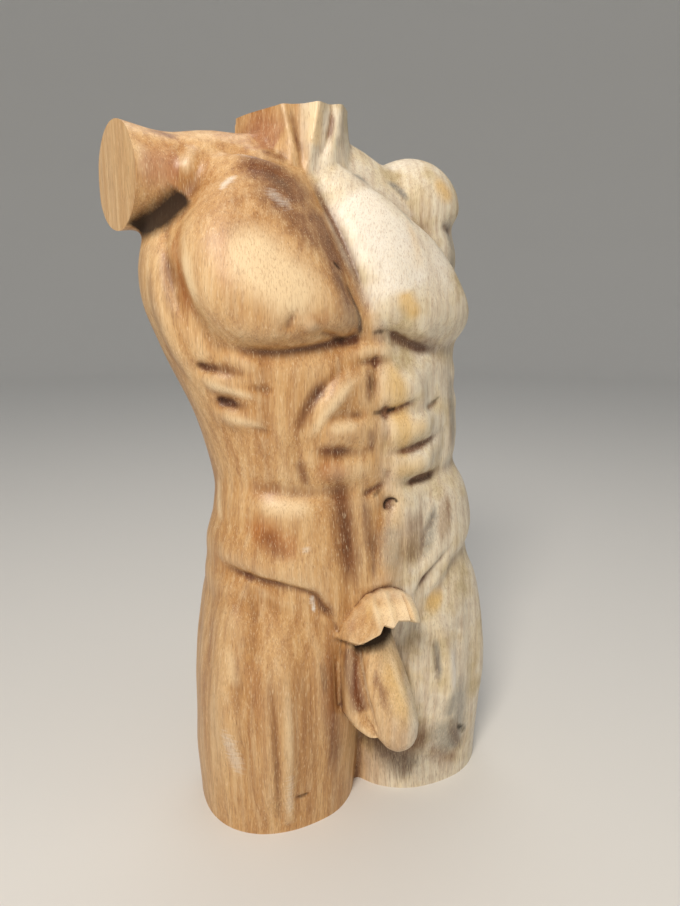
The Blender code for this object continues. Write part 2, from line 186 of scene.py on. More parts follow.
# %% Lay the melted tuft flat
FLAT_DEPTH = -53.0
LOW, HIGH, RIGHT, LEFT = 145, 180, -24, 50
LOW_FADE, HIGH_FADE, SIDE_FADE = 4, 5, 6
places = array_of(torso.data.vertices, "co", 3) / MM
x, y, z = places.T
share = np.clip((z - LOW) / LOW_FADE, 0, 1) * np.clip((HIGH - z) / HIGH_FADE, 0, 1)
share *= np.clip((x - RIGHT) / SIDE_FADE, 0, 1) * np.clip((LEFT - x) / SIDE_FADE, 0, 1) * (y < FLAT_DEPTH)
places[:, 1] += (FLAT_DEPTH - y) * share
torso.data.vertices.foreach_set("co", (places * MM).ravel())
torso.data.update()

# %% Set in the tuft and the pouch
TUFT_STATIONS = [
    # top edge, lip, height of the underside at its back
    ((-14, -52, 149), (-13, -55, 146), 145),
    ((-9, -56, 157), (-10, -66, 148), 144),
    ((-4, -58, 163), (-6, -72, 148), 145),
    ((3, -60, 170), (-2, -76, 151), 147),
    ((8, -63.5, 174.5), (4, -83, 158), 149),
    ((13, -59, 175), (9, -79, 162), 150),
    ((17.5, -64, 177.5), (13, -85, 161.8), 150),
    ((22.5, -61, 177), (18.5, -81.5, 164.5), 151),
    ((28, -66.5, 177), (24, -87.5, 166), 152),
    ((29.4, -59, 174), (26, -79, 165.5), 152),
    ((31, -67, 175.5), (28, -88, 164.5), 152),
    ((36, -68, 173), (32.5, -86, 162.5), 152),
    ((40, -60, 168), (37, -74, 161), 153),
    ((41, -48, 165), (39, -52, 159), 155),
]
TUFT_BACK = -46
POUCH_LEVELS = [
    # height, where it starts and ends across, where it starts and ends in depth
    (148, -9, 10, -54, -34), (136, -9, 8, -57, -34), (120, -9.5, 8, -60, -34), (104, -9.5, 9, -62, -34),
    (94, -9, 12, -65, -34), (86, -8, 16, -68, -36), (80, -5, 20, -72, -42), (75, 1, 24, -75, -50),
]
POUCH_SIDES = 16
SQUARENESS = 0.6  # 1 makes the pouch's section round, less makes it squarer


def closed_skin(name, rings, between=6):
    """A closed solid through rings of places. More places are put evenly between those that are given."""
    steps = [i / between for i in range(between)]
    dense = []
    for a, b in zip(rings, rings[1:] + [rings[-1]]):
        for t in steps if b is not a else [0]:
            ring = [Vector(p).lerp(Vector(q), t) for p, q in zip(a, b)]
            dense.append([p.lerp(q, u) for p, q in zip(ring, ring[1:] + ring[:1]) for u in steps])
    count = len(dense[0])
    corners = [place * MM for ring in dense for place in ring]
    faces = [tuple(range(count)), tuple(range(len(corners) - count, len(corners)))]
    for start in range(0, len(corners) - count, count):
        for i in range(count):
            j = (i + 1) % count
            faces.append((start + i, start + j, start + j + count, start + i + count))
    mesh = bpy.data.meshes.new(name)
    mesh.from_pydata(corners, [], faces)
    piece = bpy.data.objects.new(name, mesh)
    bpy.context.scene.collection.objects.link(piece)
    work_on(piece)
    bpy.ops.object.mode_set(mode="EDIT")
    bpy.ops.mesh.select_all(action="SELECT")
    bpy.ops.mesh.normals_make_consistent(inside=False)
    bpy.ops.object.mode_set(mode="OBJECT")
    return piece


def set_in(piece):
    """Unites the torso with a piece, which is then no longer an object of its own."""
    apply_modifier(torso, "BOOLEAN", operation="UNION", solver="MANIFOLD", object=piece)
    bpy.data.objects.remove(piece)
    print("With", len(torso.data.polygons), "faces after setting in a piece")


tuft_rings = []
for top, lip, under_height in TUFT_STATIONS:
    # the face swells a little between top edge and lip, and turns under just behind the lip
    swell = Vector(top).lerp(Vector(lip), 0.55) + Vector((0, -1.2, 0.8))
    chin = Vector(lip) + Vector((0.4, 2.6, -2.0))
    back, under = (top[0], TUFT_BACK, top[2] - 1), (lip[0], TUFT_BACK, under_height)
    tuft_rings.append([back, top, swell, lip, chin, under])
tuft = closed_skin("tuft", tuft_rings)
apply_modifier(tuft, "SMOOTH", factor=0.5, iterations=2)
set_in(tuft)

pouch_rings = []
for height, start, end, front, back in POUCH_LEVELS:
    ring = []
    for i in range(POUCH_SIDES):
        angle = 2 * math.pi * i / POUCH_SIDES
        across, deep = math.cos(angle), math.sin(angle)
        across = math.copysign(abs(across) ** SQUARENESS, across)
        deep = math.copysign(abs(deep) ** SQUARENESS, deep)
        ring.append(((start + end) / 2 + (end - start) / 2 * across,
                     (front + back) / 2 + (back - front) / 2 * deep, height))
    pouch_rings.append(ring)
pouch = closed_skin("pouch", pouch_rings, between=4)
apply_modifier(pouch, "SMOOTH", factor=0.5, iterations=6)
set_in(pouch)
print("The block has", len(torso.data.vertices), "vertices")

# %% [markdown]
# ## Carving
# A carver follows each muscle with a gouge. Here a stroke is a path of a few places on the skin, and the skin
# along it is pushed in for a groove or out for a ridge. A place is given as a viewer would point at it: the
# view in degrees, then how far to the viewer's right and how high, in millimetres.

# %% The carving tools
OUTSIDE = 400  # a distance from the figure's middle that is outside the figure on every side


class Skin:
    """The torso's skin in millimetres, before and after carving, with the values painted on it."""

    def __init__(self, obj):
        self.mesh = obj.data
        self.first = array_of(self.mesh.vertices, "co", 3) / MM
        self.points = self.first.copy()
        self.edges = array_of(self.mesh.edges, "vertices", 2).astype(int)
        self.links = np.maximum(np.bincount(self.edges.ravel(), minlength=len(self.first)), 1)
        faces = [tuple(face.vertices) for face in self.mesh.polygons]
        self.tree = BVHTree.FromPolygons([Vector(p) for p in self.first], faces)
        self.layers = {}
        self.update()

    def update(self):
        self.mesh.vertices.foreach_set("co", (self.points * MM).ravel())
        self.mesh.update()
        self.normals = array_of(self.mesh.vertex_normals, "vector", 3)

    def even_out(self, values, rounds):
        """Spreads values to their neighbours, as many rounds as are asked."""
        a, b = self.edges.T
        for _ in range(rounds):
            near = np.bincount(a, values[b], len(values)) + np.bincount(b, values[a], len(values))
            values = 0.5 * values + 0.5 * near / self.links
        return values

    def find(self, view, places):
        """Places seen from a view, as points on the skin. View 0 faces the chest, -90 the right flank."""
        turn = math.radians(view)
        out = Vector((math.sin(turn), -math.cos(turn), 0))
        across = Vector((math.cos(turn), math.sin(turn), 0))
        found = []
        for sideways, height in places:
            start = across * sideways + Vector((0, 0, height)) + out * OUTSIDE
            hit = self.tree.ray_cast(start, -out)[0]
            found.append(hit if hit is not None else self.tree.find_nearest(start - out * OUTSIDE)[0])
        return np.array(found)

    def near(self, view, places, width, ends):
        """How near every skin point is to a stroke, from 0 at its border to 1 on its line. It fades over a
        share of its length at both ends, or over two different shares."""
        rows = self.find(view, places)
        if len(rows) > 1:  # a smooth curve through the places
            padded = np.vstack([2 * rows[0] - rows[1], rows, 2 * rows[-1] - rows[-2]])
            path = []
            for a, b, c, d in zip(padded, padded[1:], padded[2:], padded[3:]):
                for t in (0, 0.2, 0.4, 0.6, 0.8):
                    path.append(0.5 * (2 * b + (c - a) * t + (2 * a - 5 * b + 4 * c - d) * t**2
                                       + (3 * b - a - 3 * c + d) * t**3))
            path = np.array(path + [rows[-1]])
        else:
            path = np.array([rows[0], rows[0] + 0.01])
        low, high = path.min(axis=0) - width, path.max(axis=0) + width
        chosen = np.nonzero(((self.first > low) & (self.first < high)).all(axis=1))[0]
        spots = self.first[chosen]
        lengths = np.linalg.norm(np.diff(path, axis=0), axis=1)
        starts = np.concatenate([[0], np.cumsum(lengths)])
        best, along = np.full(len(spots), np.inf), np.zeros(len(spots))
        for i in range(len(path) - 1):
            step = path[i + 1] - path[i]
            t = np.clip((spots - path[i]) @ step / max(step @ step, 1e-9), 0, 1)
            reach = np.linalg.norm(spots - path[i] - t[:, None] * step, axis=1)
            nearer = reach < best
            best[nearer], along[nearer] = reach[nearer], (starts[i] + t * lengths[i])[nearer] / starts[-1]
        first, last = ends if isinstance(ends, tuple) else (ends, ends)
        fade = 1.0
        if ends:
            fade = np.clip(np.minimum(along / max(first, 1e-3), (1 - along) / max(last, 1e-3)), 0, 1)
        closeness = np.zeros(len(self.first))
        closeness[chosen] = np.clip(1 - best / width, 0, 1) * fade
        return closeness

    def carve(self, view, places, width, height, ends=0.3):
        """Pushes the skin out along a stroke, or in where the height is negative."""
        close = self.near(view, places, width, ends)
        shape = close * close * (3 - 2 * close) if height > 0 else close**1.4
        self.points += self.normals * (self.even_out(shape, 2) * height)[:, None]
        self.update()

    def crease(self, view, places, depth, width=5, ends=0.3):
        """A soft valley with a finer line along its bottom, together about as deep as asked."""
        self.carve(view, places, width * 2.4, -0.55 * depth, ends)
        self.carve(view, places, width, -0.65 * depth, ends)

    def paint(self, layer, view, places, width, strength, ends=0.3):
        """Keeps a stroke of colour, the stronger one where two strokes of a colour meet."""
        close = self.near(view, places, width, ends)
        values = self.layers.setdefault(layer, np.zeros(len(self.first)))
        np.maximum(values, close * close * (3 - 2 * close) * strength, out=values)


skin = Skin(torso)

# %% [markdown]
# ### Chest, shoulders and ribs
# Grooves are cut where one muscle slides under the next, and their edges stay a little proud.

# %% Carve the chest
FRONT, RIGHT_QUARTER, LEFT_QUARTER, BACK = 0, -45, 45, 180  # views

CHEST_SWELLINGS = [
    # view, places, width, height, and the share of its length over which it fades at its ends
    (FRONT, [(-84, 360), (-66, 353), (-46, 352)], 15, 1.6),
    (FRONT, [(-38, 355), (-29, 361)], 8, 1.8),
    (FRONT, [(30, 360), (48, 353), (66, 349)], 14, 1.4),
    (FRONT, [(-86, 468), (-91, 457), (-95, 444)], 8, 2.2),
    (RIGHT_QUARTER, [(-80, 392), (-73, 362), (-63, 336), (-56, 318)], 11, 2.2),
    (RIGHT_QUARTER, [(-54, 326), (-36, 320), (-18, 314), (-4, 311)], 9, 1.6, (0.2, 0.7)),
    (RIGHT_QUARTER, [(-42, 303), (-24, 297), (-8, 293)], 9, 1.3, (0.2, 0.7)),
    (RIGHT_QUARTER, [(-40, 340), (-26, 336), (-12, 331)], 8, 1.4),
    (FRONT, [(-74, 463), (-58, 459), (-42, 455), (-26, 451)], 9, 1.4),
]
CHEST_CREASES = [
    # view, places, depth, width, fading
    (FRONT, [(-86, 347), (-70, 342), (-49, 341), (-31, 343), (-6, 347), (13, 351)], 2.6, 6, (0.5, 0.1)),
    (FRONT, [(-42, 368), (-46, 361), (-48, 353)], 2.2, 3.5),
    (FRONT, [(-30, 355), (-19, 351), (-6, 348)], 2.4, 4),
    (FRONT, [(12, 354), (26, 353), (42, 346), (57, 341), (79, 338)], 2.8, 5.5),
    (FRONT, [(-19, 458), (-8, 433), (1, 408), (7, 386), (12, 361)], 1.8, 4),
    (FRONT, [(-78, 468), (-62, 462), (-44, 459), (-30, 458), (-18, 457)], 2.2, 3.5),
    (RIGHT_QUARTER, [(-68, 440), (-72, 418), (-67, 394), (-59, 367), (-47, 346)], 2.2, 6),
    (RIGHT_QUARTER, [(-54, 334), (-48, 332), (-38, 331), (-24, 327)], 2.8, 4, (0.12, 0.7)),
    (RIGHT_QUARTER, [(-43, 312), (-38, 310), (-32, 309), (-22, 305)], 3.0, 3.5, (0.12, 0.6)),
    (RIGHT_QUARTER, [(-34, 322), (-20, 320), (-4, 317)], 1.6, 4, (0.6, 0.2)),
    (RIGHT_QUARTER, [(-30, 298), (-20, 294), (-8, 290)], 1.4, 4, (0.6, 0.2)),
    (LEFT_QUARTER, [(58, 428), (68, 425), (76, 421)], 2.0, 5),
]
NECK_STROKES = [
    # view, places, width, height, fading
    (FRONT, [(-25, 505), (-22, 488), (-19, 470), (-16, 458)], 6, -0.8, 0.1),
    (FRONT, [(-31, 506), (-29, 488), (-26, 474), (-22, 460)], 3.2, 1.0, 0.1),
    (FRONT, [(3, 506), (2, 490), (-2, 474), (-8, 462)], 5, -1.6, 0.15),
    (FRONT, [(11, 506), (10, 490), (8, 474)], 6, 0.9, 0.15),
    (FRONT, [(20, 506), (19, 490), (18, 476)], 5, -0.4, 0.2),
    (FRONT, [(26, 506), (26, 490), (28, 474)], 4, 0.4, 0.2),
]
for stroke in NECK_STROKES:
    skin.carve(*stroke)
for swelling in CHEST_SWELLINGS:
    skin.carve(*swelling)
for crease in CHEST_CREASES:
    skin.crease(*crease)

# %% [markdown]
# ### Belly and hips
# The belly is a ladder of cushions on either side of the middle line, under the arch of the ribs.

# %% Carve the belly
BELLY_SWELLINGS = [
    # view, places, width, height, fading
    (FRONT, [(36, 321), (52, 321), (70, 323)], 17, 1.5),
    (FRONT, [(36, 287), (52, 288), (74, 292)], 15, 1.9),
    (FRONT, [(37, 260), (54, 261), (76, 266)], 14, 1.9),
    (FRONT, [(-26, 291), (-8, 292), (12, 291)], 13, 1.4),
    (FRONT, [(-28, 262), (-4, 264), (17, 262)], 12, 1.0),
    (FRONT, [(0, 340), (16, 341), (34, 342)], 8, 1.2),
    (FRONT, [(12, 327), (-4, 320), (-20, 303), (-37, 277)], 12, 2.4, 0.5),
    (FRONT, [(-66, 240), (-43, 236), (-24, 236)], 16, 1.4),
    (FRONT, [(-80, 197), (-51, 177), (-30, 168)], 9, 1.6),
    (FRONT, [(88, 186), (74, 176), (58, 164)], 9, 2.2),
    (FRONT, [(26, 236), (25, 205), (22, 178)], 12, 1.0),
]
BELLY_CREASES = [
    # view, places, depth, width, fading
    (FRONT, [(-4, 333), (17, 334), (38, 335)], 1.8, 3.5),
    (FRONT, [(9, 299), (25, 300), (34, 301), (44, 304), (58, 306)], 2.6, 4),
    (FRONT, [(58, 299), (70, 301), (80, 306)], 2.0, 3.5),
    (FRONT, [(20, 270), (30, 271), (46, 272), (59, 275), (75, 279), (84, 283)], 2.4, 3.5),
    (FRONT, [(36, 246), (44, 247), (57, 248), (70, 249), (82, 255)], 3.0, 4),
    (FRONT, [(4, 242), (19, 247), (31, 251)], 2.6, 4),
    (FRONT, [(-18, 302), (-6, 300), (10, 299)], 1.4, 5, (0.7, 0.2)),
    (FRONT, [(-34, 277), (-12, 276), (16, 272)], 1.5, 6, 0.5),
    (FRONT, [(20, 346), (18, 334), (16, 322), (15, 306)], 1.8, 3.5),
    (FRONT, [(24, 312), (25, 297), (25, 282), (22, 270)], 2.0, 4),
    (FRONT, [(27, 262), (26, 250)], 1.4, 3.5),
    (FRONT, [(8, 336), (-7, 331), (-22, 319), (-34, 304), (-42, 282)], 2.6, 6, 0.5),
    (FRONT, [(6, 314), (-10, 305), (-24, 290), (-34, 272)], 1.2, 7, 0.5),
    (FRONT, [(-72, 252), (-43, 248), (-22, 247), (5, 245)], 1.6, 9, 0.5),
    (FRONT, [(77, 236), (70, 222), (58, 205), (48, 170)], 1.6, 5),
    (FRONT, [(-88, 207), (-76, 194), (-54, 187), (-32, 179), (-22, 167), (-11, 152)], 3.0, 5),
    (FRONT, [(88, 199), (70, 185), (57, 174), (47, 162)], 2.8, 4.5),
    (FRONT, [(14, 226), (16, 198), (8, 175)], 1.0, 7),
    (FRONT, [(40, 230), (37, 202), (33, 176)], 1.2, 7),
]
for swelling in BELLY_SWELLINGS:
    skin.carve(*swelling)
for crease in BELLY_CREASES:
    skin.crease(*crease)
# a small scar, then the navel: a cup under an arched lip, and a nick below it
skin.carve(FRONT, [(-38, 215), (-33, 217), (-27, 219)], 3, -0.5)
skin.carve(FRONT, [(31, 233)], 6, -1.6, ends=0)
skin.carve(FRONT, [(26, 231), (28, 236), (32, 238), (36, 235)], 2.8, -2.2, ends=0.1)
skin.carve(FRONT, [(27, 226), (26, 223)], 2.4, -1.2, ends=0)

# %% [markdown]
# ### Thighs
# Long straight gouge lines run down the thighs, and the right one has a definite groove with a bright ridge.

# %% Carve the thighs
THIGH_SWELLINGS = [
    # view, places, width, height, fading
    (FRONT, [(-50, 130), (-51, 100), (-51, 71), (-50, 4)], 7, 1.5, (0.4, 0.05)),
    (FRONT, [(-78, 120), (-76, 80), (-72, 30)], 14, 1.2),
    (FRONT, [(-83, 186), (-79, 162), (-75, 128), (-74, 90)], 12, 1.8),
    (FRONT, [(-30, 160), (-26, 110), (-24, 60)], 14, 1.4),
    (FRONT, [(76, 126), (78, 93), (77, 60)], 10, 1.8),
    (FRONT, [(52, 140), (52, 100), (50, 60)], 12, 1.2),
    (FRONT, [(20, 132), (23, 108), (27, 84)], 9, 1.4),
]
THIGH_CREASES = [
    # view, places, depth, width, fading
    (FRONT, [(-58, 158), (-61, 130), (-61, 100), (-60, 66), (-58, 30), (-56, 2)], 1.7, 4, (0.5, 0.1)),
    (FRONT, [(-70, 205), (-68, 175), (-64, 149)], 1.2, 6),
    (FRONT, [(-28, 175), (-18, 159), (-8, 140)], 2.0, 4),
    (FRONT, [(-48, 28), (-40, 27), (-32, 28)], 1.2, 1.8),
    (FRONT, [(64, 140), (66, 112), (69, 87)], 2.2, 4.5),
    (FRONT, [(94, 149), (88, 120), (86, 88)], 1.0, 6),
    (FRONT, [(0, 141), (1, 117), (3, 99), (7, 79)], 2.2, 2.2, 0.08),
    (FRONT, [(-12, 146), (-12, 120), (-11, 96), (-8, 84)], 2.0, 2.5, 0.1),
]
for swelling in THIGH_SWELLINGS:
    skin.carve(*swelling)
for crease in THIGH_CREASES:
    skin.crease(*crease)

# %% [markdown]
# ### The back
# The photograph doesn't show the back, so it gets plainer forms in keeping with the front: shoulder blades, a
# groove along the spine with a long muscle on each side, and the folds under the seat.

# %% Carve the back
BACK_SWELLINGS = [
    # view, places, width, height, fading
    (BACK, [(28, 424), (38, 394), (32, 364)], 20, 2.6),
    (BACK, [(-54, 424), (-64, 394), (-58, 364)], 20, 2.6),
    (BACK, [(2, 350), (1, 300), (1, 262)], 12, 1.6),
    (BACK, [(-27, 350), (-26, 300), (-26, 262)], 12, 1.6),
    (BACK, [(40, 215), (44, 190)], 26, 2.0, 0),
    (BACK, [(-66, 215), (-70, 190)], 26, 2.0, 0),
]
BACK_CREASES = [
    # view, places, depth, width, fading
    (BACK, [(-14, 452), (-13, 390), (-12, 320), (-12, 250)], 3.2, 6, (0.3, 0.1)),
    (BACK, [(10, 414), (20, 380), (38, 352), (56, 344)], 2.0, 6),
    (BACK, [(-36, 414), (-46, 380), (-64, 352), (-80, 344)], 2.0, 6),
    (BACK, [(10, 254), (30, 262), (52, 256)], 1.8, 7),
    (BACK, [(-36, 254), (-56, 262), (-76, 256)], 1.8, 7),
    (BACK, [(8, 158), (28, 150), (52, 156)], 2.6, 6),
    (BACK, [(-34, 158), (-54, 150), (-78, 156)], 2.6, 6),
]
for swelling in BACK_SWELLINGS:
    skin.carve(*swelling)
for crease in BACK_CREASES:
    skin.crease(*crease)

# %% [markdown]
# ### The maker's hand
# Sanding by hand never leaves a surface quite even, so the skin gets a very low waviness. It is drawn from a
# fixed noise, so it is the same each time.

# %% Hand waviness
WAVE_SIZE, WAVE_HEIGHT = 22.0, 0.35
waves = np.array([noise.noise(Vector(p / WAVE_SIZE)) for p in skin.first])
skin.points += skin.normals * (waves * WAVE_HEIGHT)[:, None]
skin.update()

# %% [markdown]
# ## Where the wood changes
# The wood's colours follow the log and the carving. Sapwood starts left of a line that runs down the body,
# the grooves are darkened with painted shade and some old wax, and ridges are rubbed pale. Each is kept as a
# value on the skin.

# %% Measure grooves, ridges and the sapwood line
SAPWOOD_LINE = [  # height, then how far to the figure's left the sapwood starts, and how gradually
    (0, 22, 22), (120, 22, 24), (178, 22, 26), (236, 26, 24), (300, 26, 20), (345, 22, 14), (370, 10, 8),
    (400, -4, 6), (455, -20, 5), (500, -22, 5),
]
SAPWOOD_LEAN, LEAN_FROM = 0.12, -40  # how the line shifts left per millimetre behind that depth
GROOVE_DEPTH, RIDGE_HEIGHT = 1.1, 1.0  # against the skin evened out, where each counts in full
EVENING_ROUNDS = 30

rounded = np.stack([skin.even_out(skin.points[:, i], EVENING_ROUNDS) for i in range(3)], axis=1)
hollow = ((rounded - skin.points) * skin.normals).sum(axis=1)
# the deeper a groove, the more painted shade it gets, with some old wax
skin.layers["groove"] = np.clip(skin.even_out(hollow, 2) / GROOVE_DEPTH, 0, 1) ** 1.3
skin.layers["ridge"] = np.clip(skin.even_out(-hollow, 2) / RIDGE_HEIGHT, 0, 1)
height, start, spread = np.array(SAPWOOD_LINE, float).T
line = np.interp(skin.points[:, 2], height, start) + SAPWOOD_LEAN * (skin.points[:, 1] - LEAN_FROM)
skin.layers["sapwood"] = (skin.points[:, 0] - line) / np.interp(skin.points[:, 2], height, spread)
print("Grooves cover", round(float((skin.layers["groove"] > 0.5).mean()), 3), "of the skin")
